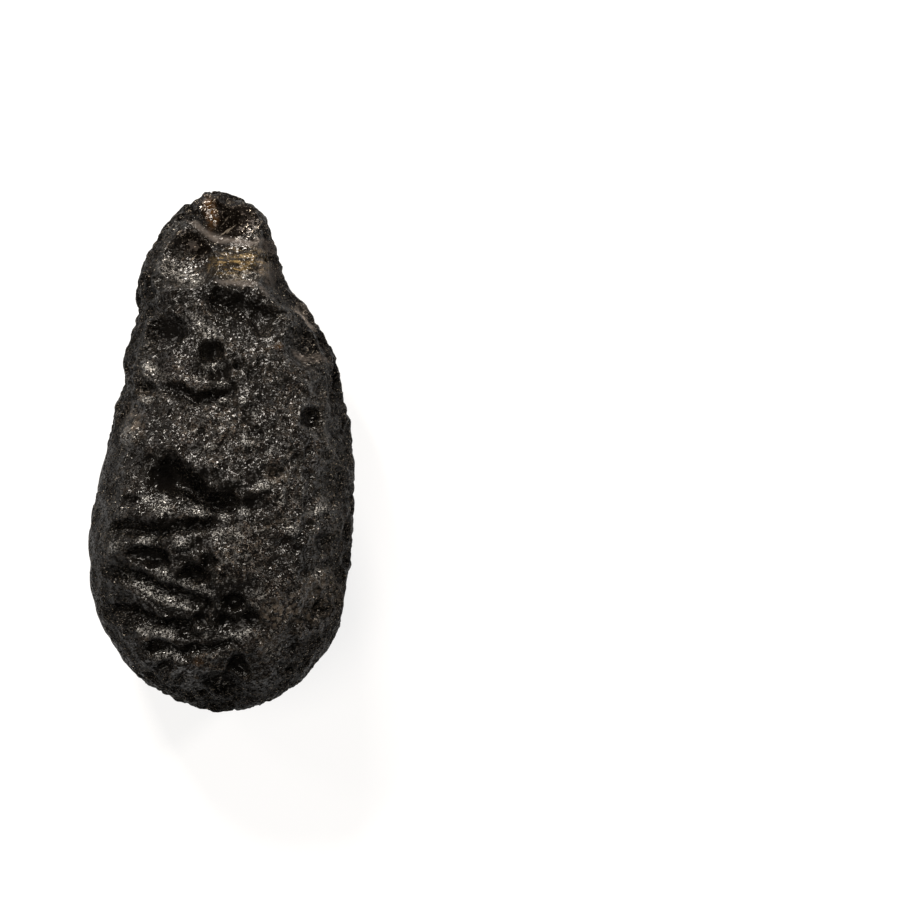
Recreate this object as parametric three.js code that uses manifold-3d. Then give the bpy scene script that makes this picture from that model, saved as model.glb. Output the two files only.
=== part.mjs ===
// Indochinite tektite: a teardrop of black natural glass, splashed out molten and etched in the soil ever
// since. It is one solid lump. Millimetres, +Z up: it lies on its worn underside, with its thin tail
// towards +Y and its heavy end towards -Y. The origin is on the resting plane, under the middle of the
// stone's length and width.

import * as THREE from "three";
import { mergeVertices } from "three/addons/utils/BufferGeometryUtils.js";
import Module from "manifold-3d";

// Driving dimensions of the whole stone.
const LENGTH = 62.3;
const HALF_LENGTH = LENGTH / 2;
const SECTION_POWER = 2.25; // 2 is an ellipse, and more is squarer in the shoulders
const REST_CUT = 0.45; // how far the underside is worn flat

// Cells of the skin over the stone's width, length and height, and how far its four long patches reach
// along it.
const CELLS_WIDE = 30;
const CELLS_ALONG = 40;
const CELLS_TALL = 16;
const LONG_REACH = 1.6;

// The stone's lines, from the tip of the tail to the heavy end, like the stations of a hull. Each row
// gives how far along the stone it is, its left and right edges seen from above, its waist height, its
// underside and its crown.
const STATIONS = [
  { y: 31.15, left: -0.7, right: -0.7, waist: 12.2, under: 12.2, crown: 12.2 },
  { y: 30.2, left: -2.8, right: 2.8, waist: 12.1, under: 10.1, crown: 14.3 },
  { y: 28.3, left: -5.05, right: 5.0, waist: 12.0, under: 8.0, crown: 16.2 },
  { y: 25.6, left: -7.35, right: 6.0, waist: 11.8, under: 6.2, crown: 17.9 },
  { y: 22.8, left: -8.75, right: 6.9, waist: 11.6, under: 4.9, crown: 19.2 },
  { y: 19.2, left: -9.75, right: 8.1, waist: 11.5, under: 3.6, crown: 20.4 },
  { y: 16.9, left: -9.95, right: 9.9, waist: 11.4, under: 2.9, crown: 21.1 },
  { y: 13.8, left: -10.7, right: 12.0, waist: 11.4, under: 2.1, crown: 22.1 },
  { y: 10.8, left: -11.5, right: 13.6, waist: 11.4, under: 1.5, crown: 23.0 },
  { y: 7.2, left: -11.95, right: 14.4, waist: 11.5, under: 0.9, crown: 24.0 },
  { y: 3.6, left: -12.8, right: 15.3, waist: 11.6, under: 0.4, crown: 24.9 },
  { y: -1.8, left: -14.2, right: 15.7, waist: 11.7, under: -0.1, crown: 25.9 },
  { y: -8.4, left: -15.45, right: 15.6, waist: 11.9, under: -0.3, crown: 26.4 },
  { y: -14.4, left: -15.7, right: 15.4, waist: 12.1, under: 0.1, crown: 26.2 },
  { y: -19.2, left: -14.8, right: 14.8, waist: 12.3, under: 1.2, crown: 25.2 },
  { y: -23.4, left: -12.7, right: 13.2, waist: 12.6, under: 3.0, crown: 23.4 },
  { y: -26.6, left: -10.4, right: 10.8, waist: 12.8, under: 5.2, crown: 21.2 },
  { y: -28.7, left: -6.9, right: 8.1, waist: 13.0, under: 7.4, crown: 19.0 },
  { y: -30.3, left: -3.4, right: 4.8, waist: 13.1, under: 10.1, crown: 16.4 },
  { y: -31.15, left: -0.5, right: -0.5, waist: 13.1, under: 13.1, crown: 13.1 },
];

// Wide shallow hollows of the upper side: centre, half-length, half-width, the turn of the long axis from
// +X, depth.
const HOLLOWS = [
  { at: [-4.4, -5.6], long: 8.0, wide: 4.8, turn: -34, deep: 1.7 },
  { at: [-6.6, -16.5], long: 8.0, wide: 8.4, turn: 0, deep: 1.0 },
  { at: [2.6, 14.6], long: 5.4, wide: 4.6, turn: -14, deep: 1.2 },
  { at: [2.0, -20.0], long: 5.2, wide: 4.6, turn: 0, deep: 0.9 },
];

// Burst bubbles and gouges of the upper side, sharper than the hollows.
const PITS = [
  { at: [-5.4, 14.4], long: 3.6, wide: 2.2, turn: 24, deep: 1.8 },
  { at: [-1.15, 11.8], long: 2.3, wide: 2.1, turn: 10, deep: 1.9 },
  { at: [0.1, 9.0], long: 2.0, wide: 1.7, turn: 0, deep: 1.3 },
  { at: [-8.4, 7.6], long: 1.9, wide: 1.7, turn: 0, deep: 1.0 },
  { at: [4.7, 8.9], long: 2.6, wide: 1.5, turn: 60, deep: 0.7 },
  { at: [11.0, 3.7], long: 2.4, wide: 1.9, turn: -50, deep: 1.2 },
  { at: [-7.9, -12.8], long: 2.9, wide: 1.8, turn: -18, deep: 1.6 },
  { at: [-3.0, -14.6], long: 3.3, wide: 1.9, turn: 20, deep: 1.5 },
  { at: [2.0, -18.0], long: 2.1, wide: 1.9, turn: 0, deep: 1.1 },
  { at: [-2.0, -19.6], long: 2.0, wide: 1.7, turn: 0, deep: 1.0 },
  { at: [3.9, -20.2], long: 2.2, wide: 1.8, turn: -40, deep: 1.0 },
  { at: [0.6, -22.0], long: 2.2, wide: 1.6, turn: 20, deep: 1.0 },
  { at: [2.2, -25.6], long: 2.1, wide: 1.9, turn: 0, deep: 1.1 },
  { at: [0.0, -28.0], long: 2.9, wide: 1.7, turn: -8, deep: 1.3 },
];

// Grooves of the upper side where softer layers of the glass were etched out. Each is a line seen from
// above, how far its wall reaches on the tail's side, how far on the other side, and its depth.
const GROOVES = [
  {
    line: [[-12.4, -10.2], [-9.4, -8.6], [-6.6, -9.3], [-3.8, -8.1], [-1.8, -8.6]],
    above: 1.3, below: 1.9, deep: 1.2,
  },
  {
    line: [[-12.4, -14.2], [-9.6, -15.8], [-7.2, -17.3], [-4.0, -18.0]],
    above: 1.2, below: 1.8, deep: 1.3,
  },
  {
    line: [[-12.4, -18.6], [-9.6, -20.0], [-7.0, -21.4], [-3.8, -21.8]],
    above: 1.3, below: 2.0, deep: 1.5,
  },
  { line: [[-8.4, -24.2], [-6.2, -25.6], [-3.6, -25.4]], above: 1.2, below: 1.6, deep: 0.9 },
  { line: [[-5.6, 7.3], [-2.0, 6.7], [1.4, 7.1]], above: 1.1, below: 1.6, deep: 1.1 },
  {
    line: [[-8.2, -2.8], [-5.6, -0.8], [-3.2, -3.2], [-0.9, -5.4], [2.4, -6.6]],
    above: 1.3, below: 3.4, deep: 1.6,
  },
  { line: [[-0.8, 19.2], [2.4, 19.6], [5.2, 17.8], [7.2, 15.2]], above: 1.1, below: 2.6, deep: 1.0 },
  { line: [[8.4, -18.6], [10.6, -17.2], [12.6, -14.8]], above: 1.2, below: 1.6, deep: 0.7 },
  { line: [[7.6, -24.4], [9.6, -23.2], [11.6, -20.4]], above: 1.2, below: 1.6, deep: 0.7 },
  { line: [[9.4, -12.2], [11.8, -10.4], [13.8, -8.2]], above: 1.2, below: 1.6, deep: 0.7 },
];

// Conchoidal chips broken off the tail and its right shoulder, each the bite of a large round break: the
// place seen from above, the way it faces, the radius of the break and how deep it bites.
const CHIPS = [
  { at: [1.4, 28.0], facing: [0.12, 0.5, 0.86], radius: 9.0, bite: 1.3 },
  { at: [2.6, 22.9], facing: [0.25, 0.2, 0.95], radius: 7.0, bite: 0.9 },
  { at: [6.6, 21.2], facing: [0.82, 0.2, 0.54], radius: 9.0, bite: 0.7 },
  { at: [-4.2, 24.5], facing: [-0.35, 0.2, 0.91], radius: 5.0, bite: 0.9 },
  { at: [11.2, 12.6], facing: [0.72, 0.35, 0.6], radius: 5.0, bite: 0.9 },
];
const CHIP_SIDES = 24;

// Burst bubbles scattered through the glass all round. Where the skin meets one, it leaves a bowl.
const BUBBLES = [
  { spacing: 7.5, smallest: 2.4, largest: 4.8, bite: 0.34, seed: 3 },
  { spacing: 4.4, smallest: 1.6, largest: 2.6, bite: 0.42, seed: 11 },
];
const BUBBLES_ON_TOP = 0.45; // the upper side has its own pits, so the scattered ones are fainter there

// Flow layers of the glass: shells about a point above the tail, which show as ripples where the skin cuts
// them.
const LAYERS = { centre: [-1.0, 6.0, 22.0], spacing: 3.9, height: 0.14, wander: 1.5 };

// Slow waves through the glass: how fast each turns along x, y and z, in radians per millimetre, and its
// start. The first keep the skin from looking turned, the next make the layers wander, and the last make
// them come and go.
const SWELL = 0.1;
const SWELL_WAVES = [
  { rate: [0.12, 0.41, 0.05], start: 0.4 },
  { rate: [0.53, -0.19, 0.23], start: 2.1 },
  { rate: [-0.22, 0.31, 0.47], start: 4.0 },
];
const WANDER_WAVES = [
  { rate: [0.31, 0, 0.19], start: 1.3 },
  { rate: [0, 0.23, 0.37], start: 0 },
];
const STRENGTH = 0.6;
const STRENGTH_WAVES = [{ rate: [0.21, -0.17, 0.29], start: 0 }];

// What counts as the upper side: how far up the skin faces where the features placed by hand begin and are
// whole.
const UPPER = { from: 0.05, whole: 0.35 };

// Odd numbers that scatter the cells of a lattice.
const SCATTER = { rate: [127.1, 311.7, 74.7, 19.19], gain: 43758.5453 };

const radians = THREE.MathUtils.degToRad;

// A repeatable number from 0 to 1 for a cell of the lattice.
function chance(i, j, k, seed) {
  const [a, b, c, d] = SCATTER.rate;
  const scattered = Math.sin(i * a + j * b + k * c + seed * d) * SCATTER.gain;
  return scattered - Math.floor(scattered);
}

// The station's angle along the stone, 0 at the tip and pi at the heavy end, which keeps both ends round.
const STATION_ANGLES = STATIONS.map((s) => Math.acos(THREE.MathUtils.clamp(s.y / HALF_LENGTH, -1, 1)));

// One line of the stone at an angle along it: a cubic through the stations, with slopes from their
// neighbours.
function lineAt(line, angle) {
  const last = STATIONS.length - 1;
  let i = 0;
  while (i < last - 1 && angle > STATION_ANGLES[i + 1]) i += 1;
  const slope = (j) => {
    const a = Math.max(j - 1, 0);
    const b = Math.min(j + 1, last);
    return (STATIONS[b][line] - STATIONS[a][line]) / (STATION_ANGLES[b] - STATION_ANGLES[a]);
  };
  const span = STATION_ANGLES[i + 1] - STATION_ANGLES[i];
  const t = (angle - STATION_ANGLES[i]) / span;
  const t2 = t * t;
  const t3 = t2 * t;
  return (
    STATIONS[i][line] * (2 * t3 - 3 * t2 + 1) +
    slope(i) * span * (t3 - 2 * t2 + t) +
    STATIONS[i + 1][line] * (3 * t2 - 2 * t3) +
    slope(i + 1) * span * (t3 - t2)
  );
}

// A point of the plain teardrop, before any relief, in a direction out from its middle.
function plainSkin(direction) {
  const angle = Math.acos(THREE.MathUtils.clamp(direction.y, -1, 1));
  const left = lineAt("left", angle);
  const right = lineAt("right", angle);
  const waist = lineAt("waist", angle);
  const round = Math.hypot(direction.x, direction.z);
  if (round < 1e-9) return new THREE.Vector3(left, direction.y * HALF_LENGTH, waist);
  const c = direction.x / round;
  const s = direction.z / round;
  const across = Math.max((right - left) / 2, 1e-6);
  const upright = Math.max(s > 0 ? lineAt("crown", angle) - waist : waist - lineAt("under", angle), 1e-6);
  const sum = Math.abs(c / across) ** SECTION_POWER + Math.abs(s / upright) ** SECTION_POWER;
  const radius = sum ** (-1 / SECTION_POWER);
  return new THREE.Vector3((left + right) / 2 + radius * c, HALF_LENGTH * Math.cos(angle), waist + radius * s);
}

// The height of the plain teardrop's upper side over a place seen from above.
function heightOver(x, y) {
  const angle = Math.acos(y / HALF_LENGTH);
  const left = lineAt("left", angle);
  const right = lineAt("right", angle);
  const waist = lineAt("waist", angle);
  const share = Math.min(Math.abs((2 * x - left - right) / (right - left)), 1);
  return waist + (lineAt("crown", angle) - waist) * (1 - share ** SECTION_POWER) ** (1 / SECTION_POWER);
}

// The six patches of a long box, each a grid of directions, blown up to the plain teardrop.
function skinGrid() {
  const positions = [];
  const wide = { way: new THREE.Vector3(1, 0, 0), reach: 1, cells: CELLS_WIDE };
  const along = { way: new THREE.Vector3(0, 1, 0), reach: LONG_REACH, cells: CELLS_ALONG };
  const tall = { way: new THREE.Vector3(0, 0, 1), reach: 1, cells: CELLS_TALL };
  const spread = (edge, cell) => Math.tan(Math.atan(edge.reach) * ((2 * cell) / edge.cells - 1));
  const patch = (face, side, u, v) => {
    const corner = (a, b) => {
      const d = face.way.clone().multiplyScalar(side * face.reach);
      d.addScaledVector(u.way, spread(u, a)).addScaledVector(v.way, spread(v, b));
      return plainSkin(d.normalize());
    };
    for (let a = 0; a < u.cells; a += 1) {
      for (let b = 0; b < v.cells; b += 1) {
        const [p, q, r, s] = [corner(a, b), corner(a + 1, b), corner(a + 1, b + 1), corner(a, b + 1)];
        const triangles = (a + b) % 2 ? [p, q, r, p, r, s] : [p, q, s, q, r, s];
        triangles.forEach((vertex) => positions.push(vertex.x, vertex.y, vertex.z));
      }
    }
  };
  patch(wide, 1, along, tall);
  patch(wide, -1, tall, along);
  patch(along, 1, tall, wide);
  patch(along, -1, wide, tall);
  patch(tall, 1, wide, along);
  patch(tall, -1, along, wide);
  const geometry = new THREE.BufferGeometry();
  geometry.setAttribute("position", new THREE.Float32BufferAttribute(positions, 3));
  return mergeVertices(geometry, 1e-4);
}

// A rounded cup: 1 at its middle and level with the skin at its edge, where the share of the way out is 1.
const cup = (share) => (share < 1 ? (1 - share * share) ** 1.5 : 0);

// How far out from an oval's middle a point is, seen from above: 0 at the middle and 1 on its edge.
function ovalShare(p, oval) {
  const turn = radians(oval.turn);
  const dx = p.x - oval.at[0];
  const dy = p.y - oval.at[1];
  const u = (dx * Math.cos(turn) + dy * Math.sin(turn)) / oval.long;
  const v = (dy * Math.cos(turn) - dx * Math.sin(turn)) / oval.wide;
  return Math.hypot(u, v);
}

// How far out from a groove's line a point is, seen from above, as a share of the wall on that side.
function grooveShare(p, groove) {
  let nearest = Infinity;
  let share = Infinity;
  for (let i = 0; i + 1 < groove.line.length; i += 1) {
    const [ax, ay] = groove.line[i];
    const [bx, by] = groove.line[i + 1];
    const length2 = (bx - ax) ** 2 + (by - ay) ** 2;
    const t = THREE.MathUtils.clamp(((p.x - ax) * (bx - ax) + (p.y - ay) * (by - ay)) / length2, 0, 1);
    const gap = Math.hypot(p.x - ax - t * (bx - ax), p.y - ay - t * (by - ay));
    const side = (bx - ax) * (p.y - ay) - (by - ay) * (p.x - ax);
    if (gap < nearest) {
      nearest = gap;
      share = gap / (side > 0 ? groove.above : groove.below);
    }
  }
  return share;
}

// The depth of the deepest scattered bubble at a point, so that neighbouring bowls meet in a ridge.
function bubbleDepth(p, bubbles) {
  const cell = p.clone().divideScalar(bubbles.spacing).floor();
  let deepest = 0;
  for (let i = cell.x - 1; i <= cell.x + 1; i += 1) {
    for (let j = cell.y - 1; j <= cell.y + 1; j += 1) {
      for (let k = cell.z - 1; k <= cell.z + 1; k += 1) {
        const centre = (axis, index) => (index + chance(i, j, k, bubbles.seed + axis)) * bubbles.spacing;
        const size = chance(i, j, k, bubbles.seed + 7) ** 2;
        const radius = THREE.MathUtils.lerp(bubbles.smallest, bubbles.largest, size);
        const gap = Math.hypot(p.x - centre(1, i), p.y - centre(2, j), p.z - centre(3, k));
        deepest = Math.max(deepest, bubbles.bite * radius * cup(gap / radius));
      }
    }
  }
  return deepest;
}

// The sum of some slow waves at a point.
function wavesAt(p, waves) {
  return waves.reduce((sum, w) => sum + Math.sin(p.dot(new THREE.Vector3(...w.rate)) + w.start), 0);
}

// Ripples of the flow layers, which wander and come and go.
function layerHeight(p) {
  const shell = p.distanceTo(new THREE.Vector3(...LAYERS.centre)) + LAYERS.wander * wavesAt(p, WANDER_WAVES);
  const strength = STRENGTH + (1 - STRENGTH) * wavesAt(p, STRENGTH_WAVES);
  return LAYERS.height * strength * Math.sin((2 * Math.PI * shell) / LAYERS.spacing);
}

// How far the real skin stands out from the plain teardrop at a point with that normal. Most of it is
// carved in.
function relief(p, normal) {
  const top = THREE.MathUtils.smoothstep(normal.z, UPPER.from, UPPER.whole);
  let hollow = 0;
  for (const h of HOLLOWS) hollow += h.deep * cup(ovalShare(p, h));
  let carved = 0;
  for (const pit of PITS) carved = Math.max(carved, pit.deep * cup(ovalShare(p, pit)));
  for (const groove of GROOVES) carved = Math.max(carved, groove.deep * cup(grooveShare(p, groove)));
  let scattered = 0;
  for (const bubbles of BUBBLES) scattered = Math.max(scattered, bubbleDepth(p, bubbles));
  const deepest = Math.max(top * carved, scattered * THREE.MathUtils.lerp(1, BUBBLES_ON_TOP, top));
  return SWELL * wavesAt(p, SWELL_WAVES) + layerHeight(p) - deepest - top * hollow;
}

// The skin with its relief, pushed along the plain teardrop's normals.
function carvedSkin() {
  const geometry = skinGrid();
  geometry.computeVertexNormals();
  const position = geometry.getAttribute("position");
  const normals = geometry.getAttribute("normal");
  const p = new THREE.Vector3();
  const n = new THREE.Vector3();
  for (let i = 0; i < position.count; i += 1) {
    p.fromBufferAttribute(position, i);
    n.fromBufferAttribute(normals, i);
    p.addScaledVector(n, relief(p, n));
    position.setXYZ(i, p.x, p.y, p.z);
  }
  return geometry;
}

const wasm = await Module();
wasm.setup();

// A closed geometry as a solid that can be cut.
function solidOf(geometry) {
  geometry.deleteAttribute("normal");
  geometry.deleteAttribute("uv");
  const merged = mergeVertices(geometry, 1e-4);
  return new wasm.Manifold(
    new wasm.Mesh({
      numProp: 3,
      vertProperties: merged.getAttribute("position").array,
      triVerts: new Uint32Array(merged.index.array),
    }),
  );
}

// A solid back as a geometry.
function geometryOf(solid) {
  const mesh = solid.getMesh();
  const geometry = new THREE.BufferGeometry();
  geometry.setAttribute("position", new THREE.BufferAttribute(mesh.vertProperties, mesh.numProp));
  geometry.setIndex(new THREE.BufferAttribute(mesh.triVerts, 1));
  return geometry;
}

// The round break that takes a chip off: a ball that dips below the skin by the chip's bite.
function chipCutter(chip) {
  const [x, y] = chip.at;
  const facing = new THREE.Vector3(...chip.facing).normalize();
  const centre = new THREE.Vector3(x, y, heightOver(x, y)).addScaledVector(facing, chip.radius - chip.bite);
  const ball = new THREE.SphereGeometry(chip.radius, CHIP_SIDES, CHIP_SIDES / 2);
  ball.translate(centre.x, centre.y, centre.z);
  return solidOf(ball);
}

// The stone is chipped, worn flat underneath, and set down on that flat with the origin under its middle.
function wornStone() {
  let solid = solidOf(carvedSkin());
  for (const chip of CHIPS) solid = solid.subtract(chipCutter(chip));
  const ground = new THREE.BoxGeometry(2 * LENGTH, 2 * LENGTH, LENGTH);
  ground.translate(0, 0, REST_CUT - LENGTH / 2);
  const geometry = geometryOf(solid.subtract(solidOf(ground)));
  geometry.computeBoundingBox();
  const box = geometry.boundingBox;
  geometry.translate(-(box.min.x + box.max.x) / 2, -(box.min.y + box.max.y) / 2, -box.min.z);
  return geometry.toNonIndexed();
}

const glass = new THREE.MeshStandardMaterial({ color: 0x1b1917, roughness: 0.38, metalness: 0 });
const stone = new THREE.Mesh(wornStone(), glass);
stone.name = "tektite";
stone.geometry.computeVertexNormals();

const tektite = new THREE.Group();
tektite.add(stone);

export default tektite;
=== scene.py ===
"""Indochinite tektite, dressed: a teardrop of near-black natural glass with an etched and pitted skin.

The stone lies on its worn underside with its tail towards +Y. Sizes are in millimetres until a mesh is
written, and the finished objects are in metres. The skin starts as a plain teardrop drawn through given
stations, and each kind of relief is then carved into it in the order in which nature made it: flow layers,
bubbles and grooves, the fine etching of the soil, and last the chips that knocked the tail about.
"""

import logging
from dataclasses import dataclass, field, fields
from enum import Enum
from itertools import product
from math import pi, radians

import bpy
import numpy as np
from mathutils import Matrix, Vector


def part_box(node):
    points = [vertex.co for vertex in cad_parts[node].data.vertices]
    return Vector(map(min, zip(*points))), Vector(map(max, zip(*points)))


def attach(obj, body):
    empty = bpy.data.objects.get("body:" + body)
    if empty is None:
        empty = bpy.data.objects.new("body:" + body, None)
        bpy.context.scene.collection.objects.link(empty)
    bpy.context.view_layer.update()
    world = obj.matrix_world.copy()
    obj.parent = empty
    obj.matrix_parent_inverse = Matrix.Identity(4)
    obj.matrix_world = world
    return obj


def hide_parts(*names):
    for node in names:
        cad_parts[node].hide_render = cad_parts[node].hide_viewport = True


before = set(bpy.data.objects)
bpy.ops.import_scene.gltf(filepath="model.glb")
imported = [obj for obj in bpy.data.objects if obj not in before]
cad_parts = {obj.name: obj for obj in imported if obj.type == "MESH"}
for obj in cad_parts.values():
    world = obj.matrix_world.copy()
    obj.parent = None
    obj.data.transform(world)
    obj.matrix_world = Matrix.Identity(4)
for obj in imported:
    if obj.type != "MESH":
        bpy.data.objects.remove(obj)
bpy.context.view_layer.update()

MM = 0.001
LOG = logging.getLogger("tektite")
Array = np.ndarray
Spot = tuple[float, float]
Colour = tuple[float, float, float, float]


def smooth_step(low: float, high: float, x: Array) -> Array:
    """Rise from 0 at low to 1 at high: t squared times (3 - 2t), with t the share of the way, held to 0..1.

    Args:
        low: where the rise begins.
        high: where it ends; it may be below low for a fall.
        x: the values.

    Returns:
        The height of the rise at each value.
    """
    t = np.clip((x - low) / (high - low), 0.0, 1.0)
    return t * t * (3.0 - 2.0 * t)


def mix(a: Array | float, b: Array | float, share: Array) -> Array:
    """Blend from a to b: a plus the share of the difference."""
    return a + (b - a) * share


def unit(v: Array) -> Array:
    """Scale each row to length 1."""
    return v / np.maximum(np.linalg.norm(v, axis=-1, keepdims=True), 1e-12)


def chance(cell: Array, seed: float) -> Array:
    """Give a repeatable number from 0 to 1 for each lattice cell.

    It is the fraction left of a large sine: sin(127.1 i + 311.7 j + 74.7 k + 19.19 seed) times 43758.5453.

    Args:
        cell: whole numbers i, j, k in rows.
        seed: sets one pattern apart from another.

    Returns:
        One number for each row.
    """
    turns = cell @ np.array([127.1, 311.7, 74.7]) + 19.19 * seed
    scattered = np.sin(turns) * 43758.5453
    return scattered - np.floor(scattered)


def lattice_noise(p: Array, size: float, seed: float) -> Array:
    """Smooth noise from -1 to 1: random corner values of a cubic lattice, blended by smooth steps.

    Args:
        p: points in rows.
        size: the edge of a lattice cell, in millimetres.
        seed: sets one pattern apart from another.

    Returns:
        The noise at each point.
    """
    scaled = p / size
    cell = np.floor(scaled)
    t = scaled - cell
    t = t * t * (3.0 - 2.0 * t)
    total = np.zeros(len(p))
    for corner in product((0, 1), repeat=3):
        weight = np.prod(np.where(np.array(corner), t, 1.0 - t), axis=1)
        total += weight * chance(cell + np.array(corner), seed)
    return 2.0 * total - 1.0


def cloud(p: Array, size: float, seed: float, octaves: int = 3) -> Array:
    """Fractal noise: each octave is half the size and half the height of the last.

    Args:
        p: points in rows.
        size: the size of the largest features, in millimetres.
        seed: sets one pattern apart from another.
        octaves: how many sizes are added.

    Returns:
        The sum, scaled so that it stays between about -1 and 1.
    """
    total = np.zeros(len(p))
    reach = 0.0
    for octave in range(octaves):
        share = 0.5**octave
        total += share * lattice_noise(p, size * share, seed + 31.0 * octave)
        reach += share
    return total / reach


def shaken(p: Array, size: float, reach: float, seed: float) -> Array:
    """Move points about by smooth noise, which gives drawn edges a natural wander.

    Args:
        p: points in rows.
        size: how far apart the moves differ, in millimetres.
        reach: the largest move along each axis.
        seed: sets one pattern apart from another.

    Returns:
        The moved points.
    """
    moves = [lattice_noise(p, size, seed + 17.0 * axis) for axis in range(3)]
    return p + reach * np.stack(moves, axis=1)


def waves(p: Array, table: tuple) -> Array:
    """Sum slow sine waves: each is the sine of (rate dot place, plus its start).

    Args:
        p: points in rows.
        table: rows of (rate x, rate y, rate z, start), in radians per millimetre and radians.

    Returns:
        The sum at each point.
    """
    rows = np.array(table)
    return np.sin(p @ rows[:, :3].T + rows[:, 3]).sum(axis=1)


@dataclass(frozen=True)
class Oval:
    """A pit, a knob or a patch of finish, seen from above.

    It has the place of its middle, a half-length, a half-width, a turn from +X in degrees and a depth. Lean
    makes the wall on the tail's side longer and the other one shorter. Rim sets how sharp the edge is: the
    lower the sharper. Floor is 2 for a round bottom and near 1 for a pointed one.
    """

    at: Spot
    long: float
    wide: float
    turn: float
    deep: float
    lean: float = 0.0
    rim: float = 1.1
    floor: float = 2.0

    def share(self, p: Array) -> Array:
        """0 at the deepest point and 1 at the edge: the length of (along / long, across / wide).

        Args:
            p: points in rows.

        Returns:
            The share at each point. The half-width is 1 + lean times as long on the tail's side and 1 - lean
            on the other.
        """
        c, s = np.cos(radians(self.turn)), np.sin(radians(self.turn))
        dx, dy = p[:, 0] - self.at[0], p[:, 1] - self.at[1]
        across = dy * c - dx * s
        wide = self.wide * np.where(across > 0, 1.0 + self.lean, 1.0 - self.lean)
        return np.hypot((dx * c + dy * s) / self.long, across / wide)

    def depth(self, p: Array) -> Array:
        """Deep times (1 - share to the power floor) to the power rim."""
        return self.deep * np.clip(1.0 - self.share(p) ** self.floor, 0.0, 1.0) ** self.rim


@dataclass(frozen=True)
class Groove:
    """An etched groove or a streak of finish, seen from above.

    It has a line, a reach on its left and on its right as the line runs, and a depth. Its middle is level for
    a share of its length, and from there it fades towards both ends.
    """

    line: tuple[Spot, ...]
    above: float
    below: float
    deep: float
    rim: float = 1.1
    floor: float = 1.3
    level: float = 0.4
    fade: float = 0.85

    def share(self, p: Array) -> Array:
        """The distance to the line over the reach on that side, which the fade towards both ends adds to.

        Args:
            p: points in rows.

        Returns:
            The share at each point, 0 on the middle of the line and 1 at the edge: the hypotenuse of the
            distance over the reach, for the nearest stretch of the line, and of the fade times the square of
            how far the point is past the level middle.
        """
        line = np.array(self.line)
        starts = np.concatenate([[0.0], np.cumsum(np.linalg.norm(np.diff(line, axis=0), axis=1))])
        nearest, share, along = (np.full(len(p), np.inf) for _ in range(3))
        for a, b, start in zip(line[:-1], line[1:], starts):
            way = b - a
            off = p[:, :2] - a
            t = np.clip(off @ way / (way @ way), 0.0, 1.0)
            gap = np.hypot(*(off - t[:, None] * way).T)
            side = way[0] * off[:, 1] - way[1] * off[:, 0]
            closer = gap < nearest
            nearest = np.where(closer, gap, nearest)
            share = np.where(closer, gap / np.where(side > 0, self.above, self.below), share)
            along = np.where(closer, start + t * np.linalg.norm(way), along)
        past_level = np.clip(np.abs(2.0 * along / starts[-1] - 1.0) - self.level, 0.0, 1.0)
        outer = past_level / (1.0 - self.level)
        return np.hypot(share, self.fade * outer**2)

    def depth(self, p: Array) -> Array:
        """Deep times (1 - share to the power floor) to the power rim."""
        return self.deep * np.clip(1.0 - self.share(p) ** self.floor, 0.0, 1.0) ** self.rim


@dataclass(frozen=True)
class Chip:
    """A conchoidal break: its place from above, the way it faces, its radius, its bite and its smoothness."""

    at: Spot
    facing: tuple[float, float, float]
    radius: float
    bite: float
    clean: float


@dataclass(frozen=True)
class Bubbles:
    """Bubbles scattered through the glass, one to a lattice cell. Each that the skin meets leaves a bowl."""

    spacing: float
    smallest: float
    largest: float
    bite: float
    seed: float
    rim: float = 1.2

    def depth(self, p: Array) -> Array:
        """Take the deepest of the bowls near each point, so that neighbours meet in a sharp ridge.

        A bowl's depth is bite times radius times (1 - share squared) to the power rim.

        Args:
            p: points in rows.

        Returns:
            The depth at each point.
        """
        home = np.floor(p / self.spacing)
        deepest = np.zeros(len(p))
        for step in product((-1, 0, 1), repeat=3):
            cell = home + np.array(step)
            place = np.stack([chance(cell, self.seed + axis) for axis in (1, 2, 3)], axis=1)
            radius = mix(self.smallest, self.largest, chance(cell, self.seed + 7) ** 2)
            gap = np.linalg.norm(p - (cell + place) * self.spacing, axis=1)
            bowl = np.clip(1.0 - (gap / radius) ** 2, 0.0, 1.0) ** self.rim
            deepest = np.maximum(deepest, self.bite * radius * bowl)
        return deepest


@dataclass(frozen=True)
class Layers:
    """Flow layers of the glass: shells about a point, which show as ripples where the skin cuts them."""

    centre: tuple[float, float, float]
    spacing: float
    height: float
    wander: float

    def shell(self, p: Array) -> Array:
        """The distance to the centre, plus a slow wander made of two waves."""
        gap = np.linalg.norm(p - np.array(self.centre), axis=1)
        return gap + self.wander * waves(p, ((0.31, 0.0, 0.19, 1.3), (0.0, 0.23, 0.37, 0.0)))

    def ripple(self, p: Array) -> Array:
        """Height times a sine of the shell, which comes and goes along a slow wave."""
        strength = 0.6 + 0.4 * waves(p, ((0.21, -0.17, 0.29, 0.0),))
        return self.height * strength * np.sin(2.0 * pi * self.shell(p) / self.spacing)


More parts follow.
